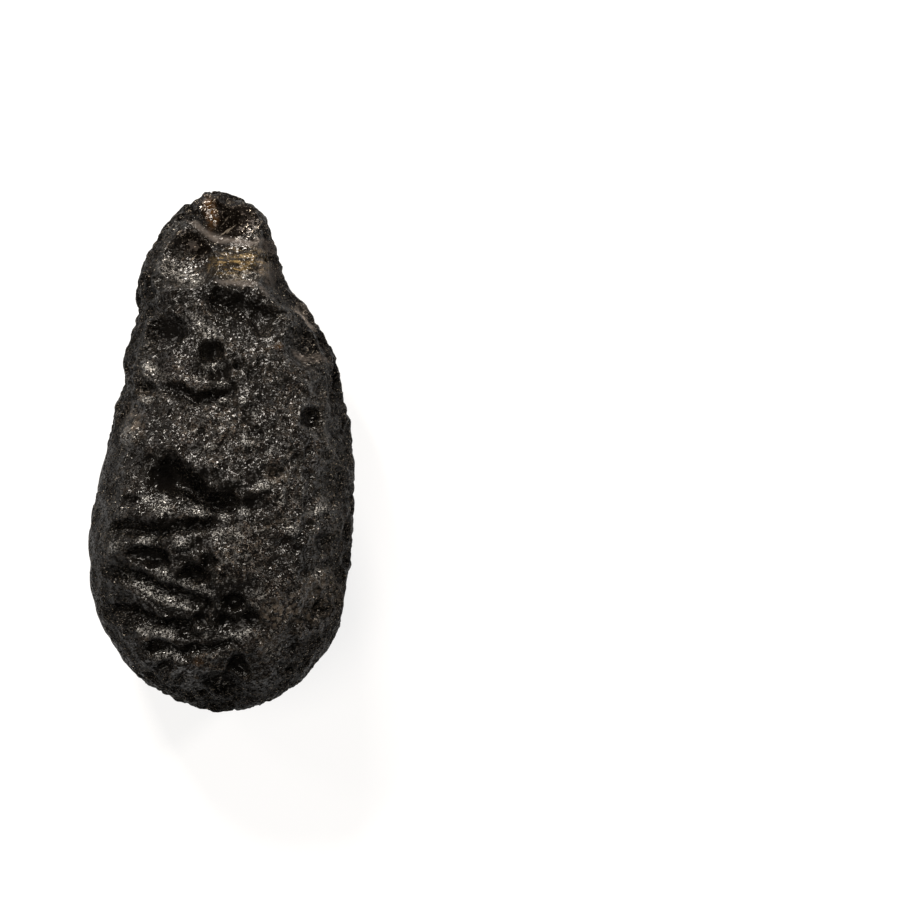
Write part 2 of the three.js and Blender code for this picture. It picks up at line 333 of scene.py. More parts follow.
@dataclass(frozen=True)
class Teardrop:
    """The plain teardrop: lines through stations along the stone, like those of a hull.

    Each station gives y, the left and right edges seen from above, the waist height, the underside and the
    crown. Power is 2 for an elliptical section and larger for a squarer one.
    """

    length: float = 62.3
    power: float = 2.25
    stations: tuple = (
        (31.15, -0.7, -0.7, 12.2, 12.2, 12.2),
        (30.2, -2.8, 2.1, 12.1, 10.1, 14.3),
        (28.3, -5.05, 5.0, 12.0, 8.0, 16.2),
        (25.6, -7.35, 6.0, 11.8, 6.2, 17.9),
        (22.8, -8.75, 6.9, 11.6, 4.9, 19.2),
        (19.2, -9.75, 8.1, 11.5, 3.6, 20.4),
        (16.9, -9.95, 9.9, 11.4, 2.9, 21.1),
        (13.8, -10.7, 12.0, 11.4, 2.1, 22.1),
        (10.8, -11.5, 13.6, 11.4, 1.5, 23.0),
        (7.2, -11.95, 14.4, 11.5, 0.9, 24.0),
        (3.6, -12.8, 15.3, 11.6, 0.4, 24.9),
        (-1.8, -14.2, 15.7, 11.7, -0.1, 25.9),
        (-8.4, -15.45, 15.6, 11.9, -0.3, 26.4),
        (-14.4, -15.7, 15.4, 12.1, 0.1, 26.2),
        (-19.2, -14.8, 14.8, 12.3, 1.2, 25.2),
        (-23.4, -12.7, 13.2, 12.6, 3.0, 23.4),
        (-26.6, -10.4, 10.8, 12.8, 5.2, 21.2),
        (-28.7, -6.9, 8.1, 13.0, 7.4, 19.0),
        (-30.3, -2.8, 4.8, 13.1, 10.1, 16.4),
        (-31.15, -0.5, -0.5, 13.1, 13.1, 13.1),
    )

    def lines(self, angle: Array) -> Array:
        """Read the five lines of the stone at angles along it, 0 at the tip and pi at the heavy end.

        Each is a cubic through the stations, with slopes from their neighbours (Hermite form). A station's
        angle is the arc cosine of its y over half the length, which keeps both ends round.

        Args:
            angle: angles in radians.

        Returns:
            Rows of left, right, waist, under and crown.
        """
        table = np.array(self.stations)
        at = np.arccos(np.clip(table[:, 0] / (self.length / 2), -1.0, 1.0))
        values = table[:, 1:]
        last = len(at) - 1
        before = np.maximum(np.arange(last + 1) - 1, 0)
        after = np.minimum(np.arange(last + 1) + 1, last)
        slopes = (values[after] - values[before]) / (at[after] - at[before])[:, None]
        i = np.clip(np.searchsorted(at, angle) - 1, 0, last - 1)
        span = (at[i + 1] - at[i])[:, None]
        t = (angle - at[i])[:, None] / span
        rise = 3.0 * t**2 - 2.0 * t**3
        start, end = t**3 - 2.0 * t**2 + t, t**3 - t**2
        bend = slopes[i] * start + slopes[i + 1] * end
        return mix(values[i], values[i + 1], rise) + span * bend

    def skin(self, ways: Array) -> Array:
        """Find the plain skin in each direction out from the middle.

        Its section across the stone is a superellipse: |x / half-width| ** power plus
        |z / half-height| ** power is 1, with one half-height above the waist and another below it.

        Args:
            ways: unit directions in rows.

        Returns:
            Points in rows, in millimetres.
        """
        left, right, waist, under, crown = self.lines(np.arccos(np.clip(ways[:, 1], -1.0, 1.0))).T
        around = np.maximum(np.hypot(ways[:, 0], ways[:, 2]), 1e-9)
        c, s = ways[:, 0] / around, ways[:, 2] / around
        across = np.maximum((right - left) / 2, 1e-6)
        upright = np.maximum(np.where(s > 0, crown - waist, waist - under), 1e-6)
        total = np.abs(c / across) ** self.power + np.abs(s / upright) ** self.power
        radius = np.maximum(total, 1e-9) ** (-1.0 / self.power) * (around > 1e-8)
        x, z = (left + right) / 2 + radius * c, waist + radius * s
        return np.stack([x, ways[:, 1] * self.length / 2, z], axis=1)

    def height_over(self, x: float, y: float) -> float:
        """The height of the plain upper side over a place seen from above."""
        left, right, waist, _, crown = self.lines(np.arccos(np.array([y / (self.length / 2)])))[0]
        share = min(abs((2 * x - left - right) / (right - left)), 1.0)
        return float(waist + (crown - waist) * (1.0 - share**self.power) ** (1.0 / self.power))


@dataclass(frozen=True)
class SkinGrid:
    """The cells of the skin: the surface of a long box of whole-number cells, blown up to a round form.

    It has the counts of cells in the box's three directions. Reach is how much longer than wide the box is
    taken to be when its places are turned into directions.
    """

    wide: int = 140
    along: int = 176
    tall: int = 76
    reach: float = 1.6

    def faces(self) -> tuple[Array, Array]:
        """Lay out the six patches and weld them at the box's edges.

        Returns:
            The whole-number place of each vertex on the box, and four vertex numbers for each cell.
        """
        counts = (self.wide, self.along, self.tall)
        corners = []
        for axis, side in product(range(3), (0, 1)):
            u_axis, v_axis = [(1, 2), (2, 0), (0, 1)][axis]
            u, v = np.meshgrid(np.arange(counts[u_axis]), np.arange(counts[v_axis]), indexing="ij")
            steps = ((0, 0), (1, 0), (1, 1), (0, 1)) if side else ((0, 0), (0, 1), (1, 1), (1, 0))
            patch = np.empty((u.size, 4, 3), dtype=np.int64)
            patch[:, :, axis] = side * counts[axis]
            for n, (du, dv) in enumerate(steps):
                patch[:, n, u_axis] = u.ravel() + du
                patch[:, n, v_axis] = v.ravel() + dv
            corners.append(patch)
        corners = np.concatenate(corners)
        flat = corners.reshape(-1, 3)
        places, numbers = np.unique(flat, axis=0, return_inverse=True)
        return places, numbers.reshape(-1, 4)

    def ways(self, places: Array) -> Array:
        """Turn places on the box into directions: each coordinate is a tangent, which evens the cells."""
        reaches = np.array([1.0, self.reach, 1.0])
        counts = np.array([self.wide, self.along, self.tall])
        return unit(np.tan(np.arctan(reaches) * (2.0 * places / counts - 1.0)))


def corner_normals(p: Array, cells: Array) -> Array:
    """Average the cells' normals at each vertex: the cross products of their diagonals, summed and scaled.

    Args:
        p: vertices in rows.
        cells: four vertex numbers for each cell.

    Returns:
        Unit normals in rows.
    """
    a, b, c, d = (p[cells[:, n]] for n in range(4))
    normal = np.cross(c - a, d - b)
    total = np.zeros_like(p)
    for n in range(4):
        for axis in range(3):
            total[:, axis] += np.bincount(cells[:, n], normal[:, axis], len(p))
    return unit(total)


def strongest(forms: tuple, p: Array) -> Array:
    """The largest of several forms' depths at each point."""
    return np.maximum.reduce([form.depth(p) for form in forms])


@dataclass(frozen=True)
class Wander:
    """Seeded noise that moves points or varies a depth: its size, its strength and its seed."""

    size: float
    strength: float
    seed: float

    def moved(self, p: Array) -> Array:
        """Move points about by it."""
        return shaken(p, self.size, self.strength, self.seed)

    def around_one(self, p: Array) -> Array:
        """A factor that wanders about 1."""
        return 1.0 + self.strength * lattice_noise(p, self.size, self.seed)


@dataclass(frozen=True)
class SkinMarks:
    """Where the upper side wears another finish or painted light (glints, sheen, glow), as patches laid out
    in millimetres seen from above.
    """

    # Grey satin bands on the breaks at the tail and along lips: painted sheen as grey colour, and rougher
    # gloss.
    frost_and_sheen: tuple[Oval | Groove, ...] = (
        Groove(
            ((-4.3, 27.8), (-2.6, 26.9), (-0.8, 26.2), (2.0, 25.7), (4.6, 25.2), (6.9, 24.4)),
            0.5, 0.45, 1.0, 0.7,
        ),
        Oval((5.6, 24.4), 1.7, 0.9, -20, 0.7, 0.0, 0.6),
        Oval((5.7, 21.5), 2.0, 1.2, -50, 0.9, 0.0, 0.6),
        Groove(((9.2, 12.4), (11.0, 11.4), (12.9, 10.3)), 0.45, 0.5, 0.8, 0.6),
        Groove(((-0.4, 20.2), (1.8, 20.2), (4.4, 19.6), (6.0, 18.4)), 0.45, 0.45, 0.8, 0.6),
    )
    ivory: tuple[Groove, ...] = (
        Groove(((8.5, 18.9), (9.4, 17.2)), 0.3, 0.1, 0.6, 0.6),
        Groove(((9.4, 17.1), (10.5, 15.6), (11.4, 14.5)), 0.3, 0.2, 0.9, 0.6),
    )
    haze: tuple[Oval | Groove, ...] = (
        Oval((-4.6, 21.6), 4.6, 2.8, 0, 0.5),
        Oval((-1.6, 15.2), 2.0, 3.4, 30, 0.8),
        Oval((2.0, 12.4), 5.4, 5.0, 0, 0.45),
        Oval((-4.6, 8.6), 3.0, 3.0, 0, 0.6),
        Oval((-8.4, 9.6), 2.2, 1.8, 0, 0.8),
        Oval((-0.6, 2.4), 7.0, 4.6, -10, 0.6),
        Oval((-4.0, -7.2), 5.0, 1.2, -4, 0.7),
        Oval((-8.0, -17.4), 4.6, 1.2, -16, 0.6),
        Oval((8.4, -20.4), 6.0, 6.0, 20, 1.0, 0.0, 0.8),
        Oval((3.0, -12.0), 4.6, 4.0, 20, 0.7),
        Oval((9.0, -6.0), 5.0, 7.0, 0, 0.5),
        Oval((9.0, 6.0), 4.0, 6.0, 0, 0.4),
        Oval((13.2, -4.0), 3.0, 16.0, 0, 0.9, 0.0, 0.8),
        Oval((0.0, -25.6), 8.0, 3.0, 0, 0.5),
    )
    # White glints painted as colour on the knobs and ridges.
    painted_glints: tuple[Oval | Groove, ...] = (
        Oval((-6.0, 26.6), 1.6, 0.8, 35, 0.5, 0.0, 0.8),
        Groove(((-3.4, 15.8), (-1.8, 14.8), (0.0, 13.4)), 0.9, 0.9, 0.5, 0.8),
        Oval((-5.6, 21.6), 2.6, 1.8, -20, 0.4),
        Oval((-3.0, 20.8), 1.8, 1.2, 10, 0.4),
        Oval((2.8, 20.9), 2.6, 0.9, -10, 0.4),
        Oval((-0.6, 10.1), 1.5, 0.7, 12, 0.6),
        Oval((0.4, 7.9), 1.2, 0.5, 10, 0.6),
        Oval((-8.6, 9.9), 1.2, 1.1, 0, 0.7),
        Oval((-2.6, 8.4), 1.2, 0.5, 0, 0.4),
        Oval((0.6, 5.9), 0.8, 0.5, 0, 1.0),
        Oval((3.0, 5.7), 0.5, 0.6, 0, 1.0),
        Oval((4.6, 4.4), 0.5, 0.8, 0, 0.8),
        Oval((-8.7, 6.0), 0.8, 0.7, 0, 0.8),
        Oval((-11.0, 1.6), 1.2, 2.0, 8, 0.5),
        Oval((-0.6, 0.4), 1.2, 0.5, 0, 0.6),
        Oval((3.4, 0.4), 0.9, 0.6, 0, 0.7),
        Oval((6.6, -0.2), 0.9, 0.6, 20, 0.6),
        Oval((5.4, -4.2), 1.4, 0.8, 10, 0.7),
        Oval((7.5, -5.8), 0.5, 1.2, 10, 0.9),
        Oval((8.7, -9.6), 0.8, 0.7, 0, 1.0),
        Oval((-7.2, -6.8), 1.7, 1.1, -30, 1.0),
        Oval((-8.8, -5.8), 0.7, 0.6, 0, 0.7),
        Oval((-2.2, -7.4), 1.5, 0.8, -15, 1.0),
        Oval((0.9, -8.6), 0.9, 0.7, 0, 0.6),
        Oval((3.1, -7.2), 0.9, 0.6, 0, 0.8),
        Oval((-8.8, -10.7), 1.1, 0.7, 5, 1.0),
        Oval((-12.2, -11.8), 0.9, 1.0, 0, 0.8),
        Oval((-4.4, -11.3), 1.2, 1.0, 0, 0.6),
        Oval((0.2, -10.4), 1.2, 0.8, 0, 0.6),
        Oval((2.2, -10.2), 1.0, 0.8, 0, 0.6),
        Oval((-3.0, -16.9), 2.2, 0.5, 8, 0.7),
        Groove(((-11.6, -15.8), (-9.0, -16.9), (-6.2, -18.1), (-3.6, -18.9)), 0.6, 0.6, 0.9),
        Groove(((-10.6, -21.5), (-8.0, -22.2), (-5.2, -22.4)), 0.4, 0.5, 0.7),
        Oval((-6.6, -14.8), 1.6, 0.8, -30, 0.6),
        Oval((-4.2, -16.2), 1.2, 0.5, -20, 0.7),
        Oval((12.0, -7.0), 1.2, 0.7, 40, 0.7),
        Oval((11.8, -14.8), 0.8, 1.1, 0, 0.6),
        Oval((6.4, -24.2), 1.6, 1.0, 30, 0.4),
        Groove(((-7.9, -24.5), (-6.4, -24.6), (-4.6, -24.5)), 0.25, 0.3, 1.0),
        Groove(((0.3, -22.9), (2.2, -22.4), (4.2, -21.5)), 0.4, 0.5, 0.9),
        Oval((-1.2, -21.9), 0.7, 0.4, 0, 0.6),
        Oval((4.8, -17.2), 0.9, 0.6, 0, 0.6),
        Oval((-1.0, -17.2), 0.8, 0.5, 0, 0.6),
    )
    # Amber: brown glass, whose colour paints the glow of light through the thin tip.
    amber_and_glow: tuple[Oval, ...] = (
        Oval((-1.3, 28.7), 1.1, 2.0, 0, 1.0, 0.0, 1.4),
        Oval((-2.2, -25.2), 0.7, 0.6, 0, 0.8, 0.0, 0.8),
        Oval((7.0, 12.4), 0.7, 0.5, 0, 0.7, 0.0, 0.8),
    )
    # Golden glints at the tail, painted as colour.
    painted_gold_glints: tuple[Oval, ...] = (
        Oval((2.6, 22.6), 4.4, 2.6, -6, 0.7, 0.0, 1.2),
        Oval((1.6, 23.5), 2.2, 0.8, -4, 0.9, 0.0, 1.0),
        Oval((3.0, 21.9), 2.4, 0.8, -4, 0.9, 0.0, 1.0),
    )
    dust: tuple[Oval, ...] = (
        Oval((7.6, -19.2), 3.0, 2.2, 20, 0.9),
        Oval((12.4, -17.0), 3.0, 4.0, 0, 0.5),
        Oval((10.6, -20.0), 2.0, 1.2, 30, 0.6),
        Oval((6.0, -23.6), 2.0, 1.6, 30, 0.4),
        Oval((-10.4, 3.0), 2.0, 3.0, 0, 0.5),
        Oval((-8.8, 6.4), 1.4, 1.2, 0, 0.6),
        Oval((6.6, -3.0), 1.6, 1.4, 0, 0.5),
    )
    clear: tuple[Oval, ...] = (
        Oval((1.2, 28.6), 4.9, 2.5, -14, 1.0, 0.0, 0.4),
        Oval((-3.2, 25.0), 2.4, 1.7, -12, 1.0, 0.0, 0.5),
    )

    def masks(self, p: Array) -> dict[str, Array]:
        """For each finish, the strongest of its patches at each point."""
        return {kind.name: strongest(getattr(self, kind.name), p) for kind in fields(self)}


@dataclass
class Stone:
    """The stone: its form, every feature of its skin, and the finish that it wears.

    Slopes are upward parts of the skin's normal, 1 where it faces straight up. A pair of slopes, depths or
    places is where a smooth step begins and ends.
    """

    drop: Teardrop = field(default_factory=Teardrop)
    grid: SkinGrid = field(default_factory=SkinGrid)
    marks: SkinMarks = field(default_factory=SkinMarks)
    glass: "TektiteGlass" = field(default_factory=lambda: TektiteGlass())
    upper_slopes: Spot = (0.05, 0.35)
    shown_slopes: Spot = (-0.15, 0.2)
    side_slopes: Spot = (0.8, 0.4)
    steep_slopes: Spot = (0.75, 0.35)
    steep_side: float = 0.8
    flank_x: Spot = (-9.5, -13.0)
    flank_y: Spot = (6.0, -1.0)
    flank_side: float = 0.6
    flank_calm: float = 0.7
    hand: tuple[Wander, ...] = (Wander(4.0, 0.35, 71.0), Wander(1.5, 0.25, 83.0))
    ragged: tuple[Wander, ...] = (Wander(2.2, 0.25, 29.0), Wander(0.9, 0.25, 47.0))
    uneven: Wander = Wander(2.6, 0.3, 53.0)
    rest_cut: float = 0.45
    swell: float = 0.1
    swell_waves: tuple = ((0.12, 0.41, 0.05, 0.4), (0.53, -0.19, 0.23, 2.1), (-0.22, 0.31, 0.47, 4.0))
    layers: Layers = Layers((-1.0, 6.0, 22.0), 3.9, 0.14, 1.5)
    hollows: tuple[Oval, ...] = (
        Oval((-4.4, -5.6), 8.0, 4.8, -34, 1.5, 0.0, 1.5),
        Oval((-6.6, -16.5), 8.0, 8.4, 0, 1.0, 0.0, 1.5),
        Oval((2.6, 14.6), 5.4, 4.6, -14, 1.2, 0.0, 1.5),
        Oval((2.0, -20.0), 5.2, 4.6, 0, 0.9, 0.0, 1.5),
    )
    pits: tuple[Oval, ...] = (
        Oval((-3.6, 28.5), 1.1, 1.0, 0, 0.9, 0.0, 0.9),
        Oval((-8.6, 18.6), 1.2, 1.1, 0, 0.9, 0.2),
        Oval((-7.6, 16.6), 1.7, 1.0, 10, 0.8, 0.2),
        Oval((-6.2, 13.3), 3.2, 2.2, 24, 2.3, 0.35, 1.1, 1.6),
        Oval((-1.2, 11.4), 1.95, 1.9, 0, 2.2, 0.15, 1.1),
        Oval((0.1, 9.1), 1.6, 1.5, 0, 1.8, 0.2, 0.9),
        Oval((2.25, 10.0), 0.7, 0.7, 0, 1.5, 0.0, 0.9),
        Oval((2.2, 10.8), 1.2, 1.0, 0, 0.5, 0.2, 0.9),
        Oval((-2.7, 9.1), 1.1, 0.9, 0, 0.9, 0.2, 0.8),
        Oval((-8.7, 7.2), 1.3, 1.1, 0, 1.1, 0.3),
        Oval((4.4, 8.7), 1.4, 1.4, 30, 0.9, 0.3),
        Oval((5.2, 10.4), 0.9, 0.8, 0, 0.6, 0.2),
        Oval((1.4, 7.0), 1.2, 1.1, 0, 1.2, 0.3),
        Oval((11.2, 3.5), 1.5, 1.3, 0, 1.4, 0.25, 0.9),
        Oval((11.2, 2.5), 0.55, 0.6, 0, 1.4),
        Oval((-2.0, 2.1), 0.9, 0.8, 0, 0.8, 0.2, 0.9),
        Oval((4.8, 1.5), 1.0, 0.9, 20, 0.9, 0.3, 0.9),
        Oval((6.6, -3.0), 1.1, 0.8, 0, 0.8, 0.3),
        Oval((-6.0, -3.6), 2.9, 2.9, -20, 2.5, 0.2, 1.1, 1.6),
        Oval((4.1, -6.6), 1.5, 1.2, -10, 1.1, 0.3),
        Oval((-10.6, -6.3), 1.2, 0.9, 20, 0.8, 0.3),
        Oval((-8.2, -13.2), 2.9, 1.5, -16, 2.0, 0.35, 1.0, 1.6),
        Oval((-3.0, -15.4), 2.7, 1.5, 10, 2.0, 0.35, 1.0, 1.6),
        Oval((-1.2, -13.7), 1.3, 1.1, 30, 1.2, 0.3),
        Oval((2.0, -18.6), 1.7, 1.6, 0, 1.5, 0.3),
        Oval((-1.2, -19.0), 1.0, 0.9, 0, 0.8, 0.2),
        Oval((-2.2, -20.7), 1.4, 1.1, 0, 1.1, 0.3),
        Oval((1.0, -21.5), 1.6, 1.2, 10, 1.4, 0.3),
        Oval((4.2, -20.6), 1.5, 1.3, -30, 1.1, 0.3),
        Oval((-6.4, -26.0), 1.6, 1.0, 8, 1.0, 0.3),
        Oval((2.3, -26.3), 1.6, 1.6, 0, 1.5, 0.3),
        Oval((0.3, -28.4), 2.9, 1.5, -8, 1.6, 0.3),
        Oval((9.2, -24.2), 1.8, 1.3, 25, 1.0, 0.3),
        Oval((12.9, -10.8), 1.3, 1.3, 50, 0.9, 0.3),
        Oval((14.4, -3.4), 0.8, 1.0, 0, 0.7),
    )
    knobs: tuple[Oval, ...] = (
        Oval((-7.2, -7.2), 1.9, 1.1, -20, 0.9),
        Oval((-4.2, -7.8), 1.2, 0.8, -15, 0.6),
        Oval((-2.2, -7.8), 1.5, 0.8, -10, 0.8),
        Oval((0.8, -8.8), 1.0, 0.7, 0, 0.5),
        Oval((3.1, -7.9), 1.0, 0.8, 10, 0.6),
        Oval((-8.7, -11.0), 1.2, 0.8, 5, 0.8),
        Oval((-12.2, -12.0), 0.9, 0.9, 0, 0.5),
        Oval((-4.4, -11.6), 1.3, 0.9, 0, 0.5),
        Oval((1.4, -10.3), 1.4, 0.8, 0, 0.5),
        Oval((8.6, -9.9), 0.9, 0.8, 0, 0.6),
        Oval((7.4, -5.8), 0.6, 1.2, 10, 0.5),
        Oval((5.4, -4.6), 1.2, 0.6, 10, 0.5),
        Oval((-8.6, 9.7), 1.3, 1.1, 0, 0.6),
        Oval((-11.0, 1.4), 1.1, 1.6, 10, 0.4),
        Oval((0.6, 5.6), 0.8, 0.6, 0, 0.5),
        Oval((3.0, 5.5), 0.7, 0.7, 0, 0.5),
        Oval((-8.7, 5.8), 0.8, 0.7, 0, 0.4),
        Oval((3.3, 0.2), 0.9, 0.6, 0, 0.4),
        Oval((-0.6, 0.2), 1.1, 0.5, 0, 0.35),
    )
    grooves: tuple[Groove, ...] = (
        Groove(
            ((-8.0, -3.0), (-6.0, -3.7), (-4.2, -4.4), (-2.4, -5.4), (-0.6, -6.6), (2.4, -7.5)),
            2.5, 0.9, 2.4,
        ),
        Groove(
            ((-12.8, -9.9), (-9.5, -9.7), (-7.0, -10.0), (-5.0, -9.8), (-3.2, -9.3), (-0.4, -9.2)),
            1.8, 0.7, 1.9,
        ),
        Groove(((-13.6, -14.8), (-9.8, -16.0), (-7.2, -17.2), (-4.4, -18.1), (-1.8, -18.5)), 1.7, 0.7, 1.8),
        Groove(((-13.4, -19.2), (-9.8, -20.9), (-7.2, -21.6), (-2.8, -22.2)), 2.0, 0.8, 2.0),
        Groove(((-9.5, -23.8), (-6.6, -24.2), (-3.6, -24.2), (-0.6, -24.0), (2.6, -23.3)), 1.3, 0.5, 1.3),
        Groove(((-7.6, 7.4), (-5.4, 6.9), (-3.0, 6.1), (-0.6, 6.2), (1.2, 6.7), (2.8, 7.4)), 1.3, 0.6, 1.6),
        Groove(((-2.0, 18.1), (0.4, 18.1), (2.6, 17.8), (4.8, 16.8), (7.2, 14.6)), 1.7, 2.4, 1.8, 1.1, 1.6),
        Groove(((12.8, -17.9), (10.2, -19.9), (8.2, -20.8)), 1.7, 0.8, 1.0),
        Groove(((13.8, -12.6), (11.8, -14.4), (9.6, -15.4)), 1.4, 0.9, 0.7),
        Groove(((12.2, -22.0), (9.8, -25.0), (6.6, -26.6)), 1.2, 0.9, 0.7),
    )
    chips: tuple[Chip, ...] = (
        Chip((1.4, 28.0), (0.12, 0.22, 0.97), 9.0, 1.6, 0.4),
        Chip((2.6, 22.9), (0.2, 0.1, 0.97), 8.0, 0.8, 0.1),
        Chip((7.4, 20.8), (0.8, 0.15, 0.58), 6.0, 0.4, 0.1),
        Chip((-3.4, 25.4), (-0.15, -0.42, 0.9), 4.8, 1.2, 0.6),
        Chip((10.2, 13.4), (0.5, -0.1, 0.86), 4.0, 0.7, 0.1),
    )
    chip_edge: float = 0.15
    bubbles: tuple[Bubbles, ...] = (
        Bubbles(7.5, 2.4, 4.8, 0.34, 3),
        Bubbles(4.4, 1.6, 2.6, 0.42, 11),
    )
    upper_bubbles: float = 0.4
    etching: tuple[Bubbles, ...] = (
        Bubbles(2.3, 0.5, 1.6, 0.45, 23, 1.0),
        Bubbles(1.2, 0.3, 0.8, 0.65, 41, 1.0),
    )
    etched: float = 0.8
    under_etched: float = 1.35
    etched_wander: Wander = Wander(6.0, 0.35, 5.0)
    hole_calm: float = 0.8
    hole_depths: Spot = (0.3, 1.0)
    hole_gloss: float = 0.6
    gloss_depths: Spot = (0.5, 1.7)
    hollow_painted_shade: float = 0.5
    bowl_painted_shade: float = 0.7
    knobbly: float = 0.55
    knobbly_size: float = 1.5
    knobbly_seed: float = 91.0
    wrinkles: Layers = Layers((-3.0, -9.0, 13.0), 1.15, 0.1, 0.9)
    scales: Layers = Layers((-17.0, 12.0, 16.0), 1.7, 0.16, 1.1)
    scaly: tuple[Oval, ...] = (
        Oval((10.0, -15.0), 7.0, 10.0, 0, 1.0),
        Oval((7.0, -4.0), 4.0, 5.0, 0, 0.5),
    )

    def carve(self) -> tuple[Array, Array, dict[str, Array]]:
        """Carve the whole relief into the plain teardrop.

        Each pass moves the vertices along the normals of the form so far: first the deep features, then the
        fine etching, and last the chips, which cut back to the round break that made them.

        Returns:
            The vertices in millimetres, the cells, and how far each vertex belongs to each kind of skin.
        """
        places, cells = self.grid.faces()
        p = self.drop.skin(self.grid.ways(places))
        plain = corner_normals(p, cells)
        upper = smooth_step(*self.upper_slopes, plain[:, 2])
        drawn = p
        for wander in self.hand:
            drawn = wander.moved(drawn)
        height, holes, deep = self.deep_relief(p, drawn, upper)
        q = p + plain * height[:, None]

        flank = smooth_step(*self.flank_x, p[:, 0]) * smooth_step(*self.flank_y, p[:, 1])
        calm = (1.0 - self.flank_calm * flank) * self.etching_strength(p, upper, holes)
        height, fine = self.fine_relief(q, p, upper)
        q = q + corner_normals(q, cells) * (height * calm)[:, None]

        carved = corner_normals(q, cells)
        fresh = self.hole_gloss * upper * smooth_step(*self.gloss_depths, holes)
        for chip in self.chips:
            q, cut = self.chipped(q, plain, chip)
            fresh = np.maximum(fresh, chip.clean * smooth_step(0.0, self.chip_edge, cut))
        q[:, 2] = np.maximum(q[:, 2], self.rest_cut)
        # side also lowers the haze in the colour: painted shade on the steep flanks and on the left flank.
        side = np.maximum(smooth_step(*self.side_slopes, np.abs(plain[:, 2])), self.flank_side * flank)
        side = np.maximum(side, self.steep_side * smooth_step(*self.steep_slopes, np.abs(carved[:, 2])))
        # deep also takes in the small bowls: the colour leaves them black, as painted shade.
        skins = {"fresh": fresh, "side": side, "deep": deep + self.bowl_painted_shade * fine}
        shown = smooth_step(*self.shown_slopes, plain[:, 2])
        skins |= {name: shown * mark for name, mark in self.marks.masks(drawn).items()}
        return q, cells, skins

    def deep_relief(self, p: Array, drawn: Array, upper: Array) -> tuple[Array, Array, Array]:
        """Work out the deep features: swell, ripples and knobs, less pits, grooves, bubbles and hollows.

        Args:
            p: points on the plain teardrop.
            drawn: the same points with the wander of a drawing hand, for the features laid out from above.
            upper: 1 on the upper side and 0 elsewhere.

        Returns:
            The height along the normals, the depth of the pits alone, and how sunk each point is, with
            hollows counted deeper and knobs less, which the colour turns into painted shade.
        """
        ragged = drawn
        for wander in self.ragged:
            ragged = wander.moved(ragged)
        hollow = sum(h.depth(drawn) for h in self.hollows)
        holes = strongest(self.pits, drawn)
        carved = np.maximum(holes, self.uneven.around_one(p) * strongest(self.grooves, ragged))
        scattered = strongest(self.bubbles, p)
        deepest = np.maximum(upper * carved, scattered * mix(1.0, self.upper_bubbles, upper))
        base = self.swell * waves(p, self.swell_waves) + self.layers.ripple(p)
        raised = strongest(self.knobs, ragged)
        height = base - deepest + upper * (raised - hollow)
        # Hollows count as deeper and knobs as less: through the colour this paints shade into the hollows.
        return height, holes, deepest + upper * (self.hollow_painted_shade * hollow - raised)

    def etching_strength(self, p: Array, upper: Array, holes: Array) -> Array:
        """How strongly the soil etched each point: in slow clouds, more underneath and less in the pits."""
        clouds = self.etched_wander
        strength = self.etched + clouds.strength * cloud(p, clouds.size, clouds.seed, 2)
        in_holes = 1.0 - self.hole_calm * upper * smooth_step(*self.hole_depths, holes)
        return strength * (mix(self.under_etched, 1.0, upper) * in_holes)

    def fine_relief(self, q: Array, p: Array, upper: Array) -> tuple[Array, Array]:
        """Work out the fine etching: knobbly grain, wrinkles and scales, less the small bowls.

        The grain is knobbly times (0.5 minus the size of a fractal noise), which has sharp low creases.

        Args:
            q: points on the skin so far.
            p: the same points on the plain teardrop.
            upper: 1 on the upper side and 0 elsewhere.

        Returns:
            The height along the normals, and the depth of the small bowls alone.
        """
        fine = strongest(self.etching, q)
        grain = self.knobbly * (0.5 - np.abs(cloud(q, self.knobbly_size, self.knobbly_seed, 3)))
        grain += self.wrinkles.ripple(q)
        grain += upper * strongest(self.scaly, p) * self.scales.ripple(q)
        return grain - fine, fine

    def chipped(self, q: Array, n: Array, chip: Chip) -> tuple[Array, Array]:
        """Cut the skin back to a chip's ball.

        A vertex inside the ball moves back along its way inwards to where it leaves the ball: by the root t
        of |q - t n - centre| = radius.

        Args:
            q: vertices in rows.
            n: the plain skin's normals, along which they move.
            chip: the break.

        Returns:
            The moved vertices, and how far each moved.
        """
        facing = unit(np.array(chip.facing))
        centre = np.array([*chip.at, self.drop.height_over(*chip.at)]) + facing * (chip.radius - chip.bite)
        off = q - centre
        reach = np.sum(off**2, axis=1)
        along = np.sum(off * n, axis=1)
        inside = (reach < chip.radius**2) & (along < 0)
        root = np.sqrt(np.maximum(along**2 - reach + chip.radius**2, 0.0))
        cut = np.where(inside, along + root, 0.0)
        return q - n * cut[:, None], cut

    def build(self) -> bpy.types.Object:
        """Make the stone's object, set down in the frame's box with its kinds of skin kept as attributes."""
        p, cells, skins = self.carve()
        low, high = (np.array(corner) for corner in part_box("tektite"))
        middle = (p.min(axis=0) + p.max(axis=0)) / 2
        shift = np.array([-middle[0], -middle[1], -p[:, 2].min()])
        place = np.array([(low[0] + high[0]) / 2, (low[1] + high[1]) / 2, low[2]])
        mesh = bpy.data.meshes.new("etched_stone")
        mesh.from_pydata((p + shift) * MM + place, [], cells)
        mesh.shade_smooth()
        for name, values in skins.items():
            layer = mesh.attributes.new(name, "FLOAT", "POINT")
            layer.data.foreach_set("value", values.astype(np.float32))
        stone = bpy.data.objects.new("etched_stone", mesh)
        bpy.context.collection.objects.link(stone)
        mesh.materials.append(self.glass.material())
        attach(stone, "root")
        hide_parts("tektite")
        return stone


